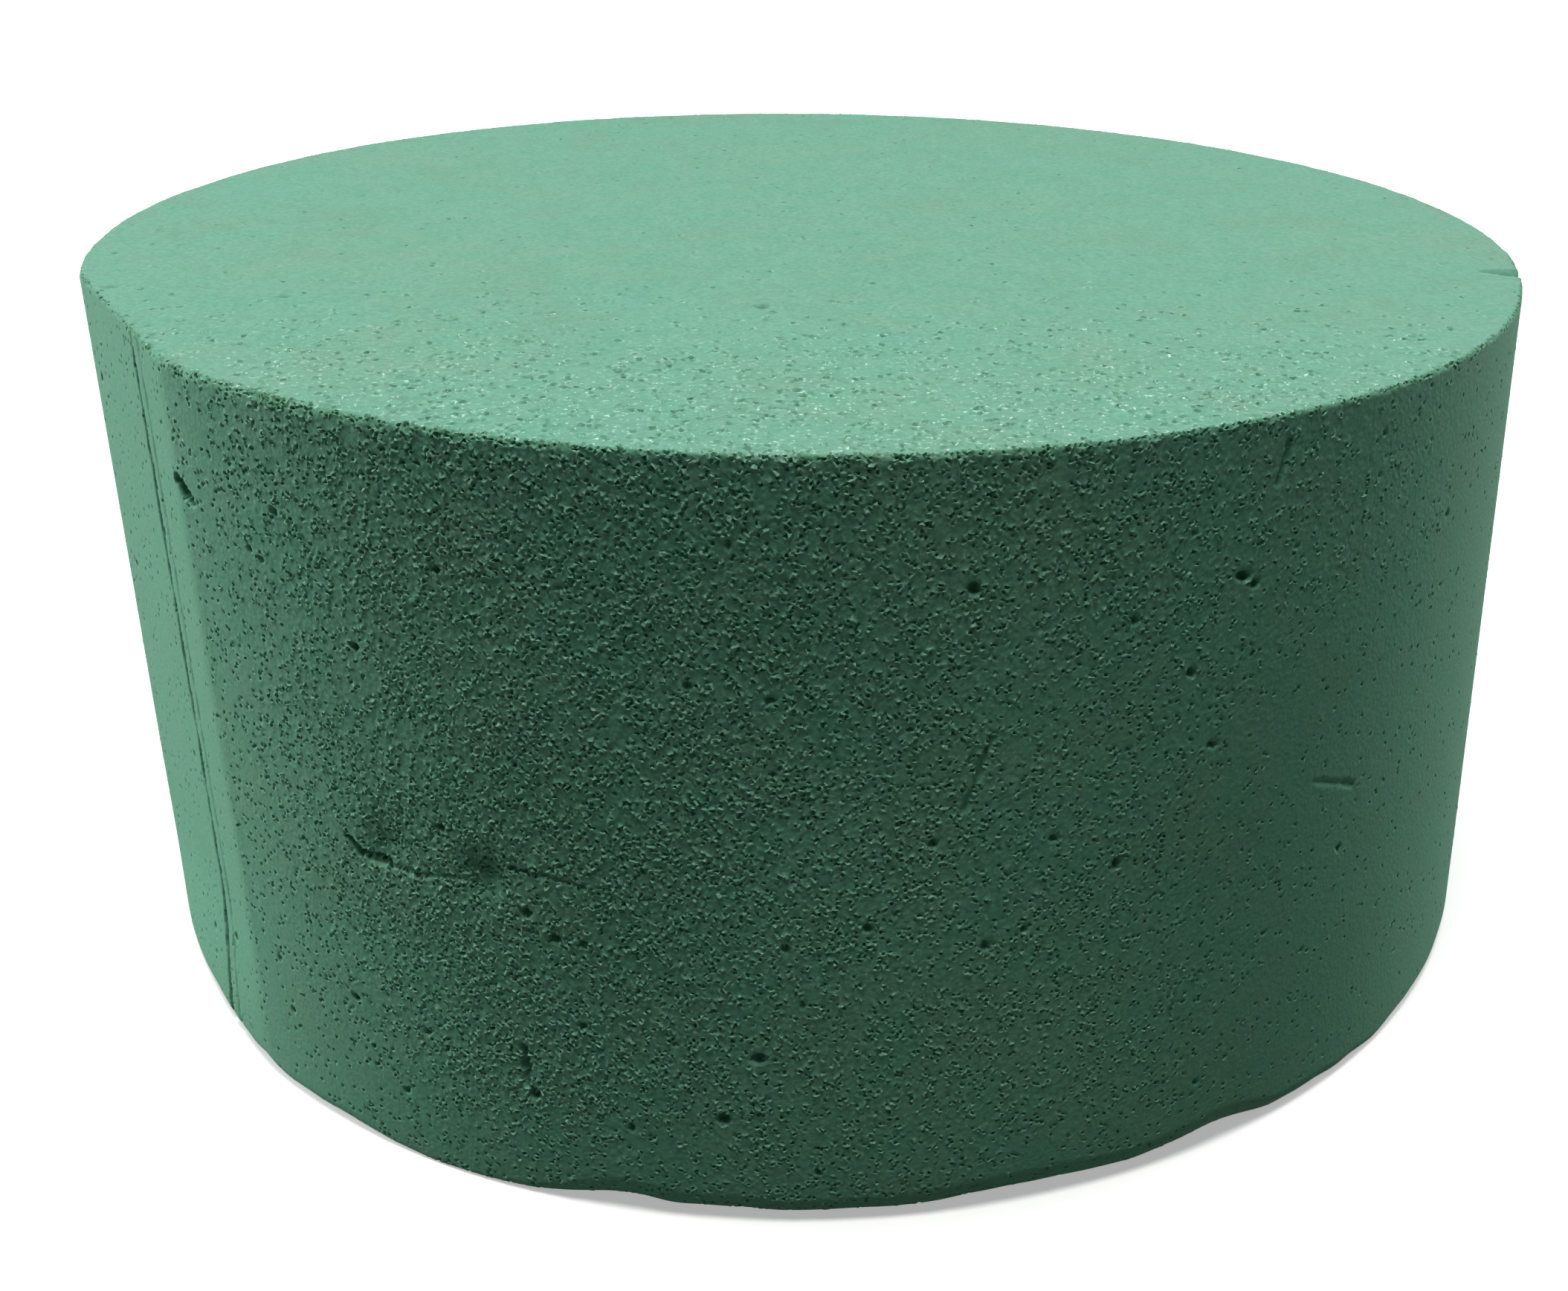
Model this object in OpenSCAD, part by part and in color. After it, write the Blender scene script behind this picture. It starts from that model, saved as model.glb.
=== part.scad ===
// Round wet floral foam block, cut from a longer bar of open-cell phenolic foam.
// One solid piece: nothing is fitted to it, nothing is inside it, and nothing on it moves.
// It stands on its base with the origin at the middle of that base, and +Z points up.
// +X is the side where the top is lower.

/* [Block] */
// Diameter of the round block
block_diameter = 80; // [50:1:160]
// Height of the tallest side, on -X
block_height = 40; // [20:0.5:80]
// How much lower the top is on +X than on -X, because the slice was cut out of square
top_fall = 2.6; // [0:0.1:6]
// Chamfer where the bottom edge has rubbed away
base_chamfer = 0.4; // [0.1:0.1:1.5]

/* [Cutting marks] */
// Direction of the flat strip that the cutter left along the wall, in degrees from +X
strip_angle = 209; // [185:1:265]
// Width of the flat strip
strip_width = 18.6; // [2:0.2:22]
// Width of the first saw line inside the strip
saw_line_width = 0.5; // [0.2:0.1:1]
// Depth of the saw lines below the strip
saw_line_depth = 0.3; // [0.1:0.1:1]
// Distance of the saw lines from the middle of the strip
saw_line_offset = 3.4; // [1:0.1:6]

/* [Chipped rim] */
// Direction of the nick in the top rim, in degrees from +X
nick_angle = -14; // [-60:1:60]
// Radial length of the nick
nick_length = 2.2; // [0.5:0.1:6]
// Depth of the nick below the top
nick_depth = 0.8; // [0.2:0.1:3]

/* [Hidden] */
block_radius = block_diameter / 2;
top_slope = atan(top_fall / block_diameter);
strip_distance = sqrt(pow(block_radius, 2) - pow(strip_width / 2, 2));
nick_side = nick_depth * sqrt(2);
spare = 5;
$fn = 128;

// Straight round wall with the worn bottom edge
module round_bar() {
    rotate_extrude()
        polygon([
            [0, 0],
            [block_radius - base_chamfer, 0],
            [block_radius, base_chamfer],
            [block_radius, block_height],
            [0, block_height]
        ]);
}

// Everything above the sloping cut that made the top
module above_top_cut() {
    translate([-block_radius, 0, block_height])
        rotate([0, top_slope, 0])
            translate([-spare, -block_radius - spare, 0])
                cube([block_diameter + 3 * spare, block_diameter + 2 * spare, top_fall + spare]);
}

// Thin segment of the wall that the cutter took off
module outside_flat_strip() {
    rotate([0, 0, strip_angle])
        translate([strip_distance, -block_radius, -spare])
            cube([spare, block_diameter, block_height + 2 * spare]);
}

// Shallow upright groove that a saw tooth scored into the strip
module saw_line(offset) {
    rotate([0, 0, strip_angle])
        translate([strip_distance - saw_line_depth, offset - saw_line_width / 2, -spare])
            cube([spare, saw_line_width, block_height + 2 * spare]);
}

// V-shaped nick that runs in from the top rim
module rim_nick() {
    rim_height = block_height - top_fall * (1 + cos(nick_angle)) / 2;
    rotate([0, 0, nick_angle])
        translate([block_radius - nick_length, 0, rim_height])
            rotate([45, 0, 0])
                translate([0, -nick_side / 2, -nick_side / 2])
                    cube([nick_length + spare, nick_side, nick_side]);
}

module foam_block() {
    color([0.35, 0.60, 0.47])
        difference() {
            round_bar();
            above_top_cut();
            outside_flat_strip();
            saw_line(saw_line_offset);
            saw_line(saw_line_offset + 3 * saw_line_width);
            rim_nick();
        }
}

foam_block();
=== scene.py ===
import math

import bpy
import numpy as np
from mathutils import Matrix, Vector
from mathutils.geometry import delaunay_2d_cdt


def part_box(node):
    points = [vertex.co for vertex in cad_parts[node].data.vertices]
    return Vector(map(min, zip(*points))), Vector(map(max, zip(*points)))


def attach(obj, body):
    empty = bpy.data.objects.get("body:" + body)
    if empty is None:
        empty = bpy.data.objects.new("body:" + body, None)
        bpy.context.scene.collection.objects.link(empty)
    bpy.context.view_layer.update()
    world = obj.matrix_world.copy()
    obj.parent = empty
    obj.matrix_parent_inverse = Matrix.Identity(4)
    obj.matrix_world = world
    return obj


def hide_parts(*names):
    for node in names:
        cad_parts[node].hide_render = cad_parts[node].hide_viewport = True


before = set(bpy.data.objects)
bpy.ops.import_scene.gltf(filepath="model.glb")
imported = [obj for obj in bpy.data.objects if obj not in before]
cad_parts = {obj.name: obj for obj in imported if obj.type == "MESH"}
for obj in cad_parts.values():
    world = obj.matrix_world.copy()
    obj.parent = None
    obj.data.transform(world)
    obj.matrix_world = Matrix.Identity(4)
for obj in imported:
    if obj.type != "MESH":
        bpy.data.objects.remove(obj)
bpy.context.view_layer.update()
mm = 0.001

# the block's own sizes come from the frame
blockLow, blockHigh = (np.array(corner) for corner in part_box("foam_block"))
radius = (blockHigh[0] - blockLow[0]) / 2
height = blockHigh[2]
cadPoints = np.array([v.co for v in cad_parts["foam_block"].data.vertices])
lowSide = cadPoints[cadPoints[:, 0] > 0.985 * radius]
topFall = height - lowSide[:, 2].max()  # the top is this much lower on +X
girth = 2 * math.pi * radius
print("block", round(radius / mm, 2), round(height / mm, 2), round(topFall / mm, 2))

# angles are in degrees from +X
foamBlock = {
    "wallPitch": 0.125 * mm,  # between neighbouring points of the torn skin
    "topPitch": 0.20 * mm,
    "basePitch": 0.50 * mm,
    "topRings": 4,  # finer rings inside the top rim, for its crumbs
    "baseRings": 1,
    "jitter": 0.30,  # share of the pitch that a point wanders
    "seed": 11,
    "stripAngle": 209,  # flat strip down the wall
    "stripWidth": 18.6 * mm,
    "stripFoot": 0.35,  # share of the strip's depth at its foot
    "stripFullFrom": 9 * mm,  # the strip has its whole depth above this
    "swell": 0.07 * mm,  # slow hollows of the round wall
    "edgeWear": 0.34 * mm,  # rubbed bottom edge
    "fringeWidth": 0.21 * mm,  # crumbs along the top rim
    "nickAngle": -13.5,
    "nickLength": 2.4 * mm,
    "nickDepth": 0.9 * mm,
    "nickHalfWidth": 1.1 * mm,
    "roughMiddle": -108,  # the wall is most torn here
    "fewestTorn": 0.003,  # share of the points that are torn where the skin is closed
    "wallTorn": 0.13,  # and where it is roughest
    "topTorn": 0.07,
    "baseTorn": 0.12,
    "touching": 0.2,  # share of the torn points that may run into the next
    "lipsKept": 0.6,  # share of the points beside a torn one that stand up
    "pitDepth": 0.18 * mm,
    "lipHeight": 0.065 * mm,
    "crumble": 0.055 * mm,
    "poreCount": 220,  # larger bubbles over the whole wall
    "smallestPore": 0.13 * mm,
    "poreSpread": 0.19 * mm,
    "namedPoreScale": 0.88,
}

# larger pores that stand out: degrees from +X, height mm, radius mm
namedPores = [
    (-126.5, 34.0, 0.28),
    (-80.0, 32.5, 0.36),
    (-61.5, 31.0, 0.40),
    (-60.5, 30.5, 0.30),
    (-69.5, 30.0, 0.25),
    (-97.5, 28.5, 0.25),
    (-82.5, 20.5, 0.26),
    (-74.5, 20.0, 0.26),
    (-70.0, 18.0, 0.30),
    (-92.0, 15.5, 0.29),
    (-105.5, 15.0, 0.27),
    (-50.0, 14.5, 0.26),
    (-91.0, 12.5, 0.22),
    (-106.0, 10.5, 0.24),
    (-125.0, 8.5, 0.28),
    (-118.5, 8.0, 0.22),
    (-96.5, 6.0, 0.36),
    (-110.0, 6.0, 0.36),
    (-103.0, 5.0, 0.28),
]

# pores in the top: x mm, y mm, radius mm
topPores = [
    (-36.4, -14.2, 0.30),
    (-27.1, -16.2, 0.26),
    (-2.0, -17.0, 0.34),
]

# where more of the bottom edge has rubbed away: degrees, degrees to each side, extra mm
worseWear = [
    (-104, 4, 0.50),
    (-88, 18, 0.15),
    (-76, 9, 0.45),
    (-60, 7, 0.40),
]

# cuts and scratches on the wall: from (degrees, mm), to (degrees, mm), half width mm, depth mm
wallCuts = [
    ((-145.9, -1.0), (-145.9, 41.0), 0.26, 0.20),
    ((-143.9, -1.0), (-143.9, 41.0), 0.22, 0.07),
    ((-138.1, 33.7), (-136.5, 33.1), 0.40, 0.90),
    ((-123.6, 17.9), (-122.6, 17.3), 0.18, 0.32),
    ((-122.6, 17.3), (-120.3, 17.2), 0.24, 0.42),
    ((-120.3, 17.2), (-117.3, 17.0), 0.16, 0.30),
    ((-117.3, 17.0), (-114.6, 17.5), 0.15, 0.26),
    ((-110.2, 18.5), (-107.6, 18.4), 0.15, 0.24),
    ((-107.6, 18.4), (-105.2, 18.1), 0.14, 0.18),
    ((-110.6, 8.6), (-110.4, 6.4), 0.22, 0.35),
    ((-78.8, 25.4), (-80.4, 22.2), 0.26, 0.22),
    ((-58.4, 36.9), (-59.3, 35.0), 0.22, 0.18),
    ((-53.6, 19.1), (-49.0, 17.9), 0.20, 0.10),
]

# soft dents on the wall: degrees, mm, radius mm, depth mm
wallDents = [
    (-112.2, 18.0, 1.7, 0.35),
    (-120.0, 18.4, 1.8, 0.22),
]


def smoothNoise(points, size, seed):
    # soft random bumps about size apart, from -1 to 1
    grid = np.random.default_rng(seed).uniform(-1, 1, (64, 64, 64))
    cell = points / size
    low = np.floor(cell).astype(int)
    part = cell - low
    part = part * part * (3 - 2 * part)
    total = np.zeros(len(points))
    for corner in np.ndindex(2, 2, 2):
        weight = np.ones(len(points))
        for axis in range(3):
            weight *= part[:, axis] if corner[axis] else 1 - part[:, axis]
        x, y, z = ((low + corner) % 64).T
        total += weight * grid[x, y, z]
    return total


def ease(low, high, value):
    t = np.clip((value - low) / (high - low), 0, 1)
    return t * t * (3 - 2 * t)


def angleFrom(angle, centre):
    # signed turn from centre to angle, in degrees
    return (angle - centre + 180) % 360 - 180


def bell(value, width):
    return np.exp(-(value / width) ** 2)


rng = np.random.default_rng(foamBlock["seed"])
rowShare = 0.866  # height of an even triangle with sides of 1


def latticeWall():
    # staggered rows round the wall, closed on themselves: the spots as (round, up) and the triangles
    pitch = foamBlock["wallPitch"]
    columns = round(girth / pitch)
    rows = round(height / (pitch * rowShare))
    column, row = np.meshgrid(np.arange(columns), np.arange(rows + 1))
    spots = np.stack([(column + row % 2 / 2) * girth / columns, row * height / rows], -1)
    wander = rng.uniform(-1, 1, spots.shape) * foamBlock["jitter"] * pitch
    wander[0, :, 1] = 0
    wander[-1, :, 1] = 0
    here = row * columns + column
    right = row * columns + (column + 1) % columns
    odd = (row[:-1] % 2).astype(bool)
    above = np.where(odd, right[1:], here[1:])
    other = np.where(odd, here[:-1], right[:-1])
    lower = np.stack([here[:-1], right[:-1], above], -1).reshape(-1, 3)
    upper = np.stack([other, right[1:], here[1:]], -1).reshape(-1, 3)
    return (spots + wander).reshape(-1, 2), np.vstack([lower, upper]), columns


def latticeDisc(rim, pitch, rimRows):
    # a rim ring, a few finer rings inside it, then staggered rows: spots as (x, y), and the triangles
    step = foamBlock["wallPitch"]
    turns = np.linspace(0, 2 * math.pi, len(rim), endpoint=False)
    rings = [rim]
    for ringRow in range(1, rimRows + 1):
        turn = turns + (ringRow % 2 / 2 + rng.uniform(-0.3, 0.3, len(rim))) * 2 * math.pi / len(rim)
        reach = radius - (ringRow + rng.uniform(-0.25, 0.25, len(rim))) * step
        rings.append(np.stack([np.cos(turn), np.sin(turn)], -1) * reach[:, None])
    count = round(2 * radius / pitch)
    column, row = np.meshgrid(np.arange(count), np.arange(round(count / rowShare)))
    spots = np.stack([(column + row % 2 / 2) * pitch, row * pitch * rowShare], -1).reshape(-1, 2) - radius
    spots += rng.uniform(-1, 1, spots.shape) * foamBlock["jitter"] * pitch
    spots = spots[np.hypot(*spots.T) < radius - rimRows * step - 0.6 * pitch]
    spots = np.vstack(rings + [spots])
    made = delaunay_2d_cdt([tuple(spot) for spot in spots / mm], [], [], 0, 1e-9, True)
    where = np.array([ids[0] for ids in made[3]])
    return spots, where[np.array(made[2])]


wallSpots, wallFaces, columns = latticeWall()
print("wall", len(wallSpots), len(wallFaces))
wallTurn = wallSpots[:, 0] / radius
rimPoints = np.stack([np.cos(wallTurn), np.sin(wallTurn)], -1) * radius
topSpots, topFaces = latticeDisc(rimPoints[-columns:], foamBlock["topPitch"], foamBlock["topRings"])
baseSpots, baseFaces = latticeDisc(rimPoints[:columns], foamBlock["basePitch"], foamBlock["baseRings"])
print("top", len(topSpots), "base", len(baseSpots))

# one list of points: the wall, then the inside of the top, then the inside of the base
topInside, baseInside = topSpots[columns:], baseSpots[columns:]
wallCount, topCount = len(wallSpots), len(topInside)
topIndex = np.append(np.arange(wallCount - columns, wallCount), wallCount + np.arange(topCount))
baseIndex = np.append(np.arange(columns), wallCount + topCount + np.arange(len(baseInside)))
faces = np.vstack([wallFaces, topIndex[topFaces], baseIndex[baseFaces][:, ::-1]])
angle = np.concatenate([wallTurn, np.arctan2(*topInside.T[::-1]), np.arctan2(*baseInside.T[::-1])])
reach = np.concatenate([np.full(wallCount, radius), np.hypot(*topInside.T), np.hypot(*baseInside.T)])
level = np.concatenate([wallSpots[:, 1], np.full(topCount, height), np.zeros(len(baseInside))])
onWall = np.arange(len(angle)) < wallCount
onBase = np.arange(len(angle)) >= wallCount + topCount
onTop = ~onWall & ~onBase
turn = np.degrees(angle)
around = np.stack([np.cos(angle), np.sin(angle), 0 * angle], -1) * radius
fromStrip = np.abs(angleFrom(turn, foamBlock["stripAngle"]))
stripTurn = math.degrees(math.asin(foamBlock["stripWidth"] / 2 / radius))

# crumbs along the top rim, wider on the left
fringe = 1 + 0.5 * smoothNoise(around, 1.1 * mm, seed=8) + 0.35 * smoothNoise(around, 4 * mm, seed=9)
fringe = foamBlock["fringeWidth"] * fringe * (1 + 1.2 * bell(angleFrom(turn, -122), 16))
fromRim = np.where(onTop, radius - reach, height - level)
crumbs = np.where(onBase, 0, np.clip(1 - fromRim / fringe, 0, 1))


def shapeBlock():
    # places the points on the real block: flat strip, swells, worn bottom edge, soft rim, sloping top
    flat = math.sqrt(radius ** 2 - (foamBlock["stripWidth"] / 2) ** 2)
    cut = radius - flat / np.cos(np.radians(np.minimum(fromStrip, 1.4 * stripTurn)))
    cut = 0.5 * (cut + np.sqrt(cut ** 2 + (0.10 * mm) ** 2)) - 0.02 * mm  # softens the strip's edges
    foot = foamBlock["stripFoot"]
    full = radius - cut * (foot + (1 - foot) * ease(0, foamBlock["stripFullFrom"], level))
    swell = smoothNoise(np.stack([around[:, 0], around[:, 1], level], -1), 13 * mm, seed=3)
    full = full - foamBlock["swell"] * (1 + swell) * ease(0.9 * stripTurn, 1.1 * stripTurn, fromStrip)

    # the bottom edge is rubbed round, more in some places than in others
    chips = smoothNoise(around, 5 * mm, seed=4) * 0.5 + smoothNoise(around, 1.9 * mm, seed=5) * 0.28
    wear = foamBlock["edgeWear"] * np.clip(1 + 0.8 * chips, 0.25, 2.2)
    wear = wear * (1 - 0.7 * bell(angleFrom(turn, -117), 9))
    for atTurn, spread, extra in worseWear:
        wear = wear + extra * mm * bell(angleFrom(turn, atTurn), spread)
    full = full - 0.8 * wear * np.clip(1 - level / (2.2 * wear), 0, 1) ** 2
    full = full - 0.25 * fringe * crumbs ** 2

    slope = (1 + np.cos(angle) * reach / radius) / 2
    z = level * (1 - topFall * slope / height)
    nearEdge = np.clip(1 - (radius - reach) / (2.5 * wear), 0, 1) ** 2
    z = z + 0.6 * wear * nearEdge * np.clip(1 - level / (3 * mm), 0, 1)
    z = z - 0.25 * fringe * crumbs ** 2
    return np.stack([np.cos(angle) * reach / radius * full, np.sin(angle) * reach / radius * full, z], -1)


def cutWall(points):
    # saw lines, scratches and dents pressed into the wall, and the nick in the rim
    push = np.zeros(len(points))
    wobble = 0.10 * smoothNoise(points, 1.2 * mm, seed=21) + 0.07 * smoothNoise(points, 0.45 * mm, seed=22)
    ragged = np.clip(1 + 0.6 * smoothNoise(points, 0.7 * mm, seed=23), 0.2, 1.5)
    for (fromTurn, fromZ), (toTurn, toZ), halfWidth, depth in wallCuts:
        u = np.radians(angleFrom(turn, fromTurn)) * radius + wobble * mm
        v = points[:, 2] - fromZ * mm
        alongU, alongV = math.radians(toTurn - fromTurn) * radius, (toZ - fromZ) * mm
        t = np.clip((u * alongU + v * alongV) / (alongU ** 2 + alongV ** 2), 0, 1)
        away = np.hypot(u - t * alongU, v - t * alongV)
        groove = np.clip(1 - away / (halfWidth * mm * ragged), 0, 1) ** 0.6
        push = np.maximum(push, depth * mm * ragged * groove)
    for atTurn, atZ, size, depth in wallDents:
        u = np.radians(angleFrom(turn, atTurn)) * radius
        push = push + depth * mm * bell(np.hypot(u, points[:, 2] - atZ * mm), size / 1.6 * mm)
    push = push * (reach > radius - 1 * mm)
    # how deep each point lies in a cut, for the painted shade in the cuts
    scored = np.clip(push / (0.25 * mm), 0, 1)
    points[:, :2] *= (1 - push / np.maximum(reach, mm))[:, None]

    direction = math.radians(foamBlock["nickAngle"])
    length = foamBlock["nickLength"]
    outward = points[:, 0] * math.cos(direction) + points[:, 1] * math.sin(direction)
    across = np.abs(-points[:, 0] * math.sin(direction) + points[:, 1] * math.cos(direction))
    rim = height - topFall * (1 + points[:, 0] / radius) / 2
    notch = np.clip((outward - (radius - length)) / length, 0, 1) ** 0.7 * foamBlock["nickDepth"]
    nickFloor = rim - np.clip(notch - across * 0.9, 0, None)
    inNick = (across < foamBlock["nickHalfWidth"]) & (outward > radius - length)
    points[:, 2] = np.where(inNick, np.minimum(points[:, 2], nickFloor), points[:, 2])
    return points, scored


points, scored = cutWall(shapeBlock())
print("shaped", points.min(0), points.max(0))


def unsloped(atTurn, z):
    # height on the square-cut lattice of a spot that is z high under the sloping top
    return z / (1 - topFall * (1 + math.cos(math.radians(atTurn))) / 2 / height)


# the larger pores as (round, up, radius): first the ones that stand out, then random ones
poreScale = foamBlock["namedPoreScale"] * mm
wallPores = []
for atTurn, z, size in namedPores:
    wallPores.append((math.radians(atTurn % 360) * radius, unsloped(atTurn, z) * mm, size * poreScale))
while len(wallPores) < foamBlock["poreCount"]:
    spot = (rng.uniform(0, girth), rng.uniform(3 * mm, height - 1.5 * mm))
    size = foamBlock["smallestPore"] + foamBlock["poreSpread"] * rng.random() ** 2
    spotTurn = math.degrees(spot[0] / radius)
    size = size * (1 - 0.5 * bell(angleFrom(spotTurn, -22), 40))  # smaller on the right
    if all(math.hypot(spot[0] - u, spot[1] - v) > 2.5 * (r + size) for u, v, r in wallPores):
        wallPores.append((*spot, size))


def hollows(spots, pores, uneven):
    # how far each point sinks inside the larger pores
    sunk = np.zeros(len(spots))
    for u, v, size in pores:
        near = np.flatnonzero(np.abs(spots[:, 1] - v) < 1.6 * size)
        across = (spots[near, 0] - u + girth / 2) % girth - girth / 2  # closed round the wall
        stretch = rng.uniform(0.8, 1.3)
        away = np.hypot(across / stretch, (spots[near, 1] - v) * stretch) * (1 + 0.35 * uneven[near])
        sunk[near] = np.maximum(sunk[near], 1.3 * size * np.clip(1 - (away / size) ** 3, 0, 1))
    return sunk


uneven = smoothNoise(points, 0.35 * mm, seed=12)
pore = np.zeros(len(points))
pore[:wallCount] = hollows(wallSpots, wallPores, uneven[:wallCount])
pore[onTop] = hollows(topInside, [(x * mm, y * mm, r * mm) for x, y, r in topPores], uneven[onTop])

# how rough each place is: the wall is most torn left of its middle, and smoother towards the right
patches = smoothNoise(points, 7 * mm, seed=6) * 0.6 + smoothNoise(points, 2.6 * mm, seed=7) * 0.4
fromRough = angleFrom(turn, foamBlock["roughMiddle"])
rough = bell(fromRough, np.where(fromRough > 0, 38, 13 + 15 * level / height))
atRear = 0.65 * bell(angleFrom(turn, 70), 55)
rough = 0.10 + 0.90 * np.maximum(rough, atRear)
upperRight = ease(24 * mm, 34 * mm, level) * ease(0, 50, fromRough) * ease(80, 50, fromRough)
rough = rough + 0.35 * upperRight
rough = rough * np.where(fromStrip < stripTurn, 0.25, 1)
rough = rough * (0.45 + 0.55 * ease(1 * mm, 7 * mm, level)) * (1 + 0.35 * patches)
rough = np.clip(rough, 0.05, 1)
nearFront = ease(2 * mm, -36 * mm, points[:, 1])

# the share of points that are torn
openShare = foamBlock["fewestTorn"] + rough * (foamBlock["wallTorn"] + 0.06 * patches)
closedRight = ease(38, 58, fromRough) * ease(150, 120, fromRough)
openShare = openShare * (1 - 0.7 * closedRight)
openOnTop = (foamBlock["fewestTorn"] + foamBlock["topTorn"] * nearFront ** 3) * (1 + patches)
openShare = np.where(onTop, openOnTop, openShare)
openShare = np.where(onBase, foamBlock["baseTorn"], openShare + 0.25 * crumbs)
torn = (rng.random(len(points)) < openShare) & (pore == 0)

# most torn points stand alone, a few run together
links = np.vstack([faces[:, :2], faces[:, 1:], faces[:, ::2]])
rank = rng.random(len(points)) * torn
best = np.zeros(len(points))
np.maximum.at(best, links[:, 0], rank[links[:, 1]])
np.maximum.at(best, links[:, 1], rank[links[:, 0]])
torn &= (rank > best) | (rng.random(len(points)) < foamBlock["touching"])

# some of the points beside a torn one stand up as a lip
lip = np.zeros(len(points), bool)
lip[links[torn[links[:, 1]], 0]] = True
lip[links[torn[links[:, 0]], 1]] = True
lip = lip & ~torn & ~onBase & (pore == 0) & (rng.random(len(points)) < foamBlock["lipsKept"])
lipShare = lip * np.where(onTop, 0.3 + 0.7 * nearFront, 0.15 + 0.85 * rough)
grainy = np.where(onTop, 0.12 + 0.75 * nearFront ** 2, 0.1 + 1.1 * rough)
grainy = np.where(torn | lip, grainy, 0.35 * grainy)
grainy = np.where(onBase | (level < 0.01 * mm), 0, grainy)
print("torn on the wall", round(torn[:wallCount].mean(), 3), "on the top", round(torn[onTop].mean(), 3))

skin = bpy.data.meshes.new("foam_skin")
skin.vertices.add(len(points))
skin.vertices.foreach_set("co", points.ravel())
skin.loops.add(faces.size)
skin.loops.foreach_set("vertex_index", faces.ravel())
skin.polygons.add(len(faces))
skin.polygons.foreach_set("loop_start", np.arange(0, faces.size, 3))
skin.update(calc_edges=True)
skinValues = {
    "torn": torn,
    "lip": lipShare,
    "pore": pore,
    "rough": grainy,
    "wall": onWall,
    "scored": scored,
    "crumbs": crumbs,
    "tone": rng.random(len(points)),
}
for name, values in skinValues.items():
    layer = skin.attributes.new(name, "FLOAT", "POINT")
    layer.data.foreach_set("value", values.astype(np.float32))
print("skin", len(points), len(faces))


def pick(sockets, key):
    if isinstance(key, int):
        return sockets[key]
    return next(s for s in sockets if s.name == key and s.enabled)


def addNode(tree, kind, inputs=None, **settings):
    node = tree.nodes.new(kind)
    for key, value in settings.items():
        setattr(node, key, value)
    for key, value in (inputs or {}).items():
        socket = pick(node.inputs, key)
        if isinstance(value, bpy.types.NodeSocket):
            tree.links.new(value, socket)
        else:
            socket.default_value = value
    return node


def math2(tree, operation, a, b):
    return addNode(tree, "ShaderNodeMath", {0: a, 1: b}, operation=operation).outputs[0]


def randomValue(tree, low, high, seed, kind="FLOAT"):
    inputs = {"Min": low, "Max": high, "Seed": seed}
    return pick(addNode(tree, "FunctionNodeRandomValue", inputs, data_type=kind).outputs, "Value")


def scaleVector(tree, vector, amount):
    inputs = {0: vector, "Scale": amount}
    return addNode(tree, "ShaderNodeVectorMath", inputs, operation="SCALE").outputs[0]


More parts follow.
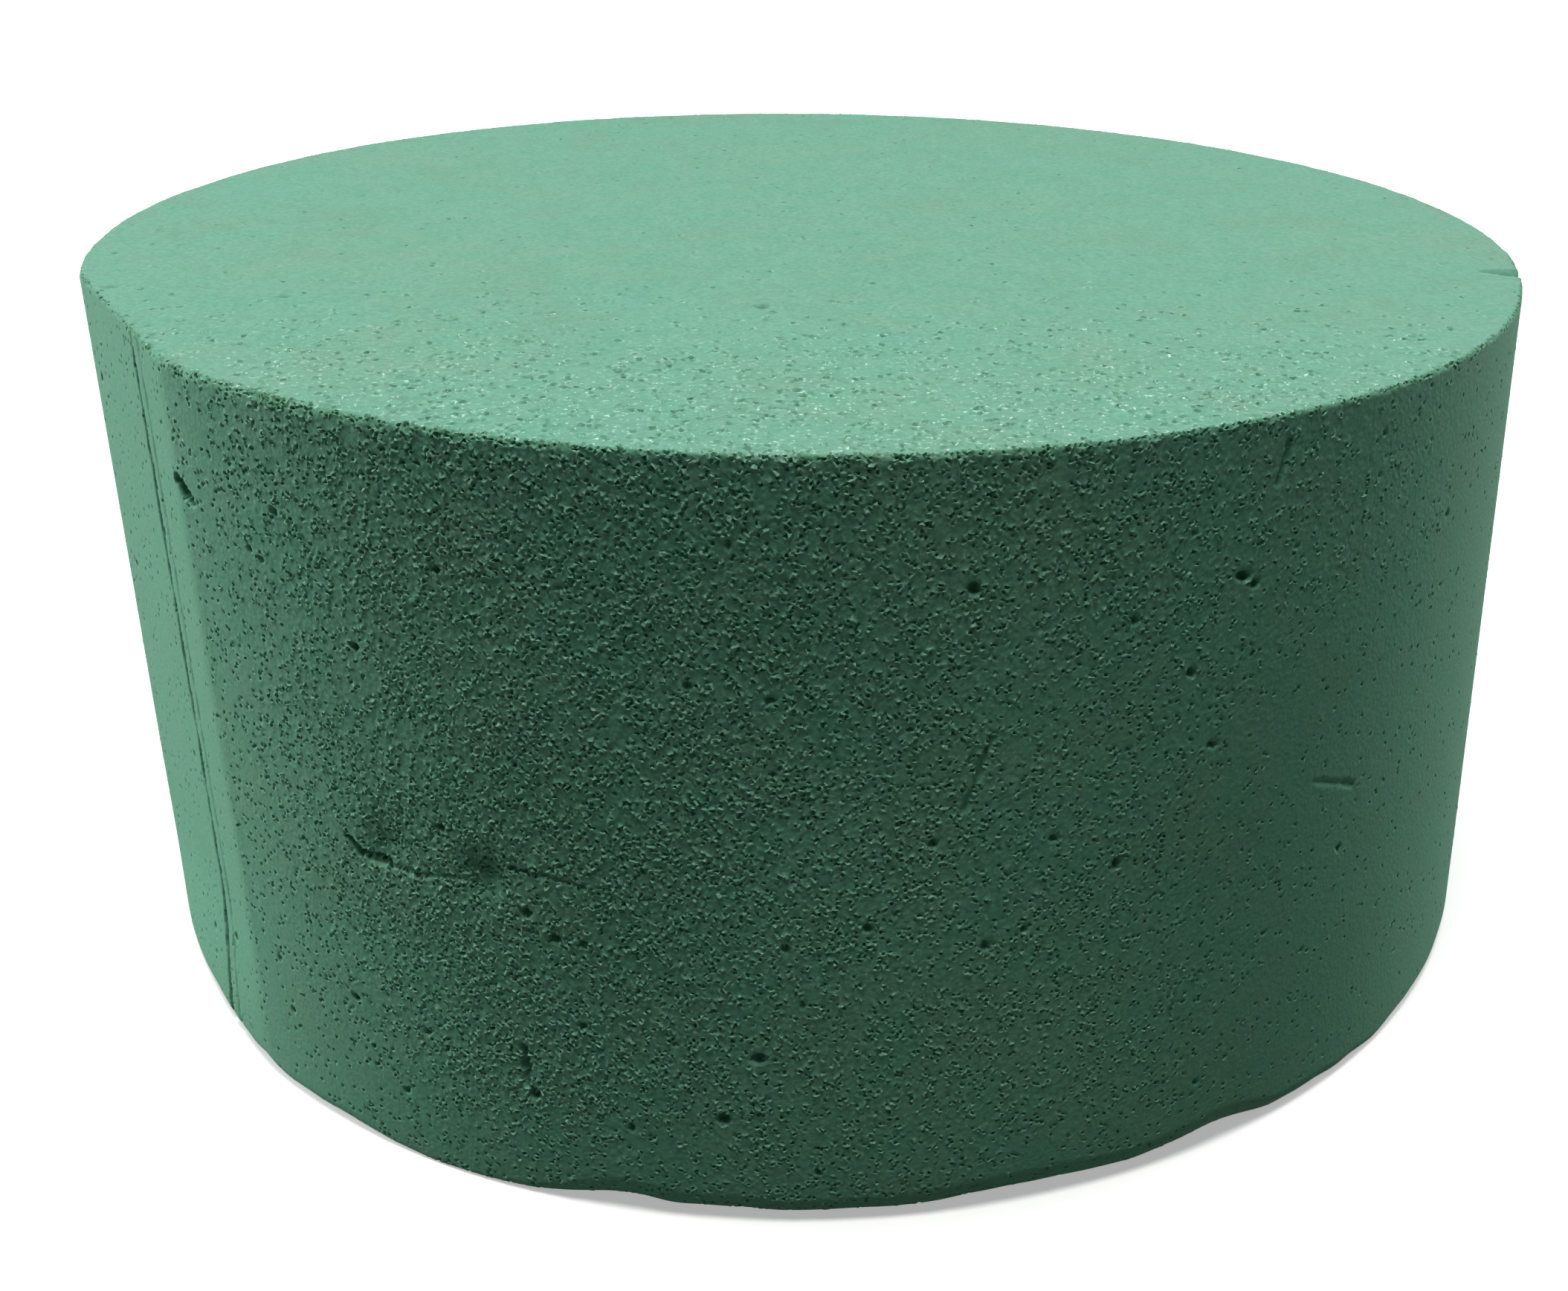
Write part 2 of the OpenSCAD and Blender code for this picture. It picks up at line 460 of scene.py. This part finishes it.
def tearFoamTree():
    tree = bpy.data.node_groups.new("tear foam", "GeometryNodeTree")
    face = tree.interface
    face.new_socket("Geometry", in_out="OUTPUT", socket_type="NodeSocketGeometry")
    face.new_socket("Skin", in_out="INPUT", socket_type="NodeSocketGeometry")
    for name in ("Pit Depth", "Lip Height", "Crumble"):
        face.new_socket(name, in_out="INPUT", socket_type="NodeSocketFloat")
    face.new_socket("Seed", in_out="INPUT", socket_type="NodeSocketInt")
    face.new_socket("Material", in_out="INPUT", socket_type="NodeSocketMaterial")
    given = {s.name: s for s in addNode(tree, "NodeGroupInput").outputs}

    def named(name):
        return pick(addNode(tree, "GeometryNodeInputNamedAttribute", {"Name": name}).outputs, "Attribute")

    def seed(step):
        return math2(tree, "ADD", given["Seed"], float(step))

    # torn points sink, the lips round them stand up, and the larger pores go deeper
    sink = math2(tree, "MULTIPLY", named("torn"), randomValue(tree, 0.4, 1.0, seed(1)))
    lift = math2(tree, "MULTIPLY", named("lip"), randomValue(tree, 0.0, 1.0, seed(2)))
    push = math2(tree, "MULTIPLY", lift, given["Lip Height"])
    push = math2(tree, "SUBTRACT", push, math2(tree, "MULTIPLY", sink, given["Pit Depth"]))
    push = math2(tree, "SUBTRACT", push, named("pore"))
    moved = scaleVector(tree, addNode(tree, "GeometryNodeInputNormal").outputs[0], push)

    # and every point of a rough place wanders a little
    wander = randomValue(tree, (-1, -1, -1), (1, 1, 1), seed(3), kind="FLOAT_VECTOR")
    wander = scaleVector(tree, wander, math2(tree, "MULTIPLY", named("rough"), given["Crumble"]))
    offset = addNode(tree, "ShaderNodeVectorMath", {0: moved, 1: wander}, operation="ADD").outputs[0]

    # how deep each point lies in its pit, for the painted shade: 1 is the bottom
    depth = math2(tree, "MAXIMUM", sink, math2(tree, "MULTIPLY", named("pore"), 1 / (0.3 * mm)))
    depth = math2(tree, "MINIMUM", depth, 1.0)
    skin = addNode(tree, "GeometryNodeStoreNamedAttribute",
                   {"Geometry": given["Skin"], "Name": "depth", "Value": depth},
                   data_type="FLOAT", domain="POINT").outputs[0]
    skin = addNode(tree, "GeometryNodeSetPosition", {"Geometry": skin, "Offset": offset}).outputs[0]

    # torn places are crisp, the closed skin between them is smooth
    inputs = {"Geometry": skin, "Shade Smooth": True}
    skin = addNode(tree, "GeometryNodeSetShadeSmooth", inputs).outputs[0]
    crisp = math2(tree, "GREATER_THAN", math2(tree, "MAXIMUM", named("torn"), named("lip")), 0.25)
    inputs = {"Geometry": skin, "Selection": crisp, "Shade Smooth": False}
    skin = addNode(tree, "GeometryNodeSetShadeSmooth", inputs, domain="EDGE").outputs[0]
    inputs = {"Geometry": skin, "Material": given["Material"]}
    skin = addNode(tree, "GeometryNodeSetMaterial", inputs).outputs[0]
    skin = addNode(tree, "GeometryNodeRealizeInstances", {"Geometry": skin}).outputs[0]
    addNode(tree, "NodeGroupOutput", {"Geometry": skin})
    return tree


def setInput(modifier, name, value):
    items = modifier.node_group.interface.items_tree
    socket = next(s for s in items if s.name == name and s.in_out == "INPUT")
    modifier[socket.identifier] = value


def mixColor(tree, factor, a, b, blend="MIX"):
    inputs = {"Factor": factor, "A": a, "B": b}
    node = addNode(tree, "ShaderNodeMix", inputs, data_type="RGBA", blend_type=blend)
    return pick(node.outputs, "Result")


def remap(tree, value, low, high, toLow=0.0, toHigh=1.0):
    inputs = {0: value, 1: low, 2: high, 3: toLow, 4: toHigh}
    return addNode(tree, "ShaderNodeMapRange", inputs).outputs[0]


foamLook = {
    "green": (0.176, 0.412, 0.300, 1),
    "fresh": (0.142, 0.412, 0.280, 1),
    "dusty": (0.208, 0.398, 0.280, 1),
    "smudge": (0.200, 0.345, 0.240, 1),
    # painted shade for the pits, the cuts and the larger pores
    "pitShadeColor": (0.060, 0.215, 0.130, 1),
    # painted shade tint for the dimly lit wall
    "wallShadeTint": (0.88, 1.0, 0.93, 1),
    # painted glint colours, for the wall and, paler, for the top
    "paintedGlint": (0.42, 0.72, 0.55, 1),
    "glint": (0.66, 0.92, 0.79, 1),  # the painted glints on the top are paler
    # lip colour: partly paler broken cell wall, partly painted highlight
    "lip": (0.36, 0.62, 0.47, 1),
    # painted shade along the crumbled top rim
    "crumbs": (0.070, 0.225, 0.105, 1),
    "patchScale": 75,  # the noises, from the widest to the finest
    "smudgeScale": 190,
    "mottleScale": 420,
    "rimShadeScale": 900,
    "glintScale": 4300,
    "grainScale": 5200,
    "patchShare": 0.55,
    "mottleShare": 0.55,
    "smudgeShare": 0.34,
    "bump": 0.35,
    "bumpDistance": 0.06 * mm,
}


def foamMaterial():
    material = bpy.data.materials.new("foam")
    material.use_nodes = True
    tree = material.node_tree
    tree.nodes.clear()
    coords = addNode(tree, "ShaderNodeTexCoord").outputs["Object"]

    def noise(name, detail):
        inputs = {"Vector": coords, "Scale": foamLook[name], "Detail": detail, "Roughness": 0.5}
        return addNode(tree, "ShaderNodeTexNoise", inputs).outputs[0]

    def onSkin(name):
        return addNode(tree, "ShaderNodeAttribute", attribute_name=name).outputs["Fac"]

    tone = onSkin("tone")
    wall = onSkin("wall")
    grain = noise("grainScale", 2.0)
    patch = remap(tree, noise("patchScale", 4.0), 0.35, 0.7)
    patch = math2(tree, "MULTIPLY", patch, foamLook["patchShare"])
    mottle = remap(tree, noise("mottleScale", 3.0), 0.4, 0.7)
    mottle = math2(tree, "MULTIPLY", mottle, foamLook["mottleShare"])
    smudge = remap(tree, noise("smudgeScale", 3.0), 0.52, 0.75)
    smudge = math2(tree, "MULTIPLY", smudge, foamLook["smudgeShare"])
    color = mixColor(tree, patch, foamLook["green"], foamLook["dusty"])
    color = mixColor(tree, mottle, color, foamLook["fresh"])
    color = mixColor(tree, smudge, color, foamLook["smudge"])

    # painted shade: darker in the pits, the cuts and the larger pores
    pitShade = math2(tree, "MULTIPLY", onSkin("depth"), 0.35)
    cutShade = math2(tree, "MULTIPLY", onSkin("scored"), 0.55)
    poreShade = remap(tree, onSkin("pore"), 0.1 * mm, 0.3 * mm, 0.0, 0.85)
    sunk = math2(tree, "MAXIMUM", math2(tree, "MAXIMUM", pitShade, cutShade), poreShade)
    color = mixColor(tree, sunk, color, foamLook["pitShadeColor"])

    # painted shade: the crumbled top rim is darkened towards a dark green
    rimShade = remap(tree, noise("rimShadeScale", 2.0), 0.35, 0.65, 0.2, 0.9)
    rimShade = math2(tree, "MULTIPLY", onSkin("crumbs"), rimShade)
    color = mixColor(tree, rimShade, color, foamLook["crumbs"])
    # painted shade: the dimly lit wall is multiplied by a more saturated tint than the top
    color = mixColor(tree, wall, color, foamLook["wallShadeTint"], "MULTIPLY")

    # paler on the lips, partly the paler broken cell wall and partly painted highlight where the lips face
    # the lamp; painted glints on stray specks
    lip = math2(tree, "MULTIPLY", onSkin("lip"), remap(tree, tone, 0.3, 1.0, 0.0, 0.85))
    color = mixColor(tree, lip, color, foamLook["lip"])
    # painted glints: pale specks where the skin is rough
    paintedGlint = remap(tree, noise("glintScale", 1.0), 0.66, 0.72)
    paintedGlint = math2(tree, "MULTIPLY", paintedGlint, remap(tree, onSkin("rough"), 0.08, 0.4, 0.0, 0.85))
    color = mixColor(tree, paintedGlint, color, mixColor(tree, wall, foamLook["glint"], foamLook["paintedGlint"]))

    toneValue = remap(tree, tone, 0.0, 1.0, 0.90, 1.10)
    value = math2(tree, "ADD", toneValue, remap(tree, grain, 0.3, 0.7, -0.08, 0.08))
    color = addNode(tree, "ShaderNodeHueSaturation", {"Color": color, "Value": value}).outputs[0]
    dullness = remap(tree, tone, 0.0, 1.0, 0.82, 0.97)
    inputs = {"Strength": foamLook["bump"], "Distance": foamLook["bumpDistance"], "Height": grain}
    bump = addNode(tree, "ShaderNodeBump", inputs).outputs[0]
    inputs = {"Base Color": color, "Roughness": dullness, "Normal": bump, "Specular IOR Level": 0.25}
    shader = addNode(tree, "ShaderNodeBsdfPrincipled", inputs)
    addNode(tree, "ShaderNodeOutputMaterial", {"Surface": shader.outputs[0]})
    return material


holder = bpy.data.objects.new("foam_lattice", skin)
bpy.context.scene.collection.objects.link(holder)
tearing = holder.modifiers.new("tear foam", "NODES")
tearing.node_group = tearFoamTree()
setInput(tearing, "Pit Depth", foamBlock["pitDepth"])
setInput(tearing, "Lip Height", foamBlock["lipHeight"])
setInput(tearing, "Crumble", foamBlock["crumble"])
setInput(tearing, "Seed", foamBlock["seed"])
setInput(tearing, "Material", foamMaterial())
mesh = bpy.data.meshes.new_from_object(holder.evaluated_get(bpy.context.evaluated_depsgraph_get()))
bpy.data.objects.remove(holder)
mesh.name = "floral_foam_block"
block = bpy.data.objects.new("floral_foam_block", mesh)
bpy.context.scene.collection.objects.link(block)
print("torn skin", len(mesh.vertices), len(mesh.polygons))


def layFlat(mesh):
    # one even map of the whole skin: the wall unrolled as two strips, with the top and the base above them
    corners = np.empty(len(mesh.loops), int)
    mesh.loops.foreach_get("vertex_index", corners)
    spots = np.empty(3 * len(mesh.vertices))
    mesh.vertices.foreach_get("co", spots)
    spots = spots.reshape(-1, 3)[corners]
    face = np.arange(len(corners)) // 3
    turn = np.arctan2(spots[:, 1], spots[:, 0]) % (2 * math.pi)
    start = turn[::3][face]
    turn = start + (turn - start + math.pi) % (2 * math.pi) - math.pi
    gap, side = 2 * mm, 2 * radius
    secondHalf = start >= math.pi
    across = gap + np.where(secondHalf, turn - math.pi, turn) * radius
    up = gap + spots[:, 2] + secondHalf * (height + gap)
    onDisc = face >= len(wallFaces)
    isBase = face >= len(wallFaces) + len(topFaces)
    discAcross = gap + radius + isBase * (side + gap) + spots[:, 0]
    discUp = 2 * height + 3 * gap + radius + np.where(isBase, -1, 1) * spots[:, 1]
    across = np.where(onDisc, discAcross, across)
    up = np.where(onDisc, discUp, up)
    whole = 2 * height + side + 4 * gap
    mesh.uv_layers.new(name="OFBake").data.foreach_set("uv", (np.stack([across, up], -1) / whole).ravel())
    print("map", across.max() / whole, up.max() / whole)


layFlat(mesh)


def areaLight(name, place, aim, size, power):
    light = bpy.data.lights.new(name, "AREA")
    light.shape = "DISK"
    light.size = size
    light.energy = power
    lamp = bpy.data.objects.new(name, light)
    lamp.visible_camera = False
    bpy.context.scene.collection.objects.link(lamp)
    back = np.array(place, float) - np.array(aim, float)
    back /= np.linalg.norm(back)
    side = np.cross((0, 1, 0) if abs(back[2]) > 0.9 else (0, 0, 1), back)
    side /= np.linalg.norm(side)
    up = np.cross(back, side)
    turned = Matrix((side, up, back)).transposed().to_4x4()
    lamp.matrix_world = Matrix.Translation(place) @ turned


# lamps: place, what it looks at, size in m, power in W
studio = {
    "key": ((0.0, -0.11, 0.90), (0, 0, 0.03), 0.36, 6.7),
    "leftBack": ((-0.70, 0.265, 0.20), (0, 0, 0.02), 0.44, 5.7),
    "rightBack": ((0.68, 0.46, 0.20), (0, 0, 0.02), 0.34, 3.8),
}
for name, (place, aim, size, power) in studio.items():
    areaLight(name, place, aim, size, power)

paperLook = {
    "halfSize": 3,
    "drop": 0.05 * mm,  # below the block's base
    "seen": (0.90, 0.90, 0.89, 1),
    "bounced": (0.135, 0.15, 0.135, 1),  # what lights the block from below
    "glow": 0.4,  # beside the block
    "fadeFrom": 0.12,
    "fadeTo": 0.40,  # plain white from here on
}


def paperFloor():
    half, drop = paperLook["halfSize"], paperLook["drop"]
    sheet = bpy.data.meshes.new("floor")
    corners = [(-half, -half, -drop), (half, -half, -drop), (half, half, -drop), (-half, half, -drop)]
    sheet.from_pydata(corners, [], [(0, 1, 2, 3)])
    paper = bpy.data.materials.new("pale floor")
    paper.use_nodes = True
    tree = paper.node_tree
    tree.nodes.clear()
    bounce = addNode(tree, "ShaderNodeLightPath").outputs["Is Diffuse Ray"]
    color = mixColor(tree, bounce, paperLook["seen"], paperLook["bounced"])
    coords = addNode(tree, "ShaderNodeTexCoord").outputs["Object"]
    fromBlock = addNode(tree, "ShaderNodeVectorMath", {0: coords}, operation="LENGTH").outputs["Value"]
    glow = remap(tree, fromBlock, paperLook["fadeFrom"], paperLook["fadeTo"], paperLook["glow"], 1.0)
    glow = math2(tree, "MULTIPLY", addNode(tree, "ShaderNodeLightPath").outputs["Is Camera Ray"], glow)
    inputs = {"Base Color": color, "Roughness": 0.9, "Specular IOR Level": 0.1,
              "Emission Color": (1, 1, 1, 1), "Emission Strength": glow}
    shader = addNode(tree, "ShaderNodeBsdfPrincipled", inputs)
    addNode(tree, "ShaderNodeOutputMaterial", {"Surface": shader.outputs[0]})
    sheet.materials.append(paper)
    floor = bpy.data.objects.new("floor", sheet)
    bpy.context.scene.collection.objects.link(floor)
    return floor


def studioSky():
    # white to the camera, a faint warm green fill for everything else
    world = bpy.data.worlds.new("studio")
    world.use_nodes = True
    bpy.context.scene.world = world
    tree = world.node_tree
    tree.nodes.clear()
    seen = addNode(tree, "ShaderNodeLightPath").outputs["Is Camera Ray"]
    strength = math2(tree, "ADD", seen, 0.023)
    color = mixColor(tree, seen, (0.92, 1.0, 0.86, 1), (1, 1, 1, 1))
    sky = addNode(tree, "ShaderNodeBackground", {"Color": color, "Strength": strength})
    addNode(tree, "ShaderNodeOutputWorld", {"Surface": sky.outputs[0]})


floor = paperFloor()
studioSky()
print("studio", len(studio), "lamps")

view = {"place": (0, -0.11539, 0.06474), "pitch": 24.473, "yaw": -0.801, "roll": -1.719, "lens": 45.68}


def makeCamera():
    camera = bpy.data.objects.new("camera", bpy.data.cameras.new("camera"))
    bpy.context.scene.collection.objects.link(camera)
    camera.data.lens = view["lens"]
    camera.data.sensor_width = 36
    camera.data.sensor_fit = "HORIZONTAL"
    camera.data.clip_start = 0.005
    pitch, yaw, roll = (math.radians(view[name]) for name in ("pitch", "yaw", "roll"))
    ahead = np.array([math.sin(yaw) * math.cos(pitch), math.cos(yaw) * math.cos(pitch), -math.sin(pitch)])
    side = np.array([math.cos(yaw), -math.sin(yaw), 0])
    up = np.cross(side, ahead)
    leaned = math.cos(roll) * side + math.sin(roll) * up
    upright = math.cos(roll) * up - math.sin(roll) * side
    turned = Matrix((leaned, upright, -ahead)).transposed().to_4x4()
    camera.matrix_world = Matrix.Translation(view["place"]) @ turned
    bpy.context.scene.camera = camera


makeCamera()
bpy.context.scene.view_settings.view_transform = "Standard"

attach(block, "root")
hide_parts("foam_block")
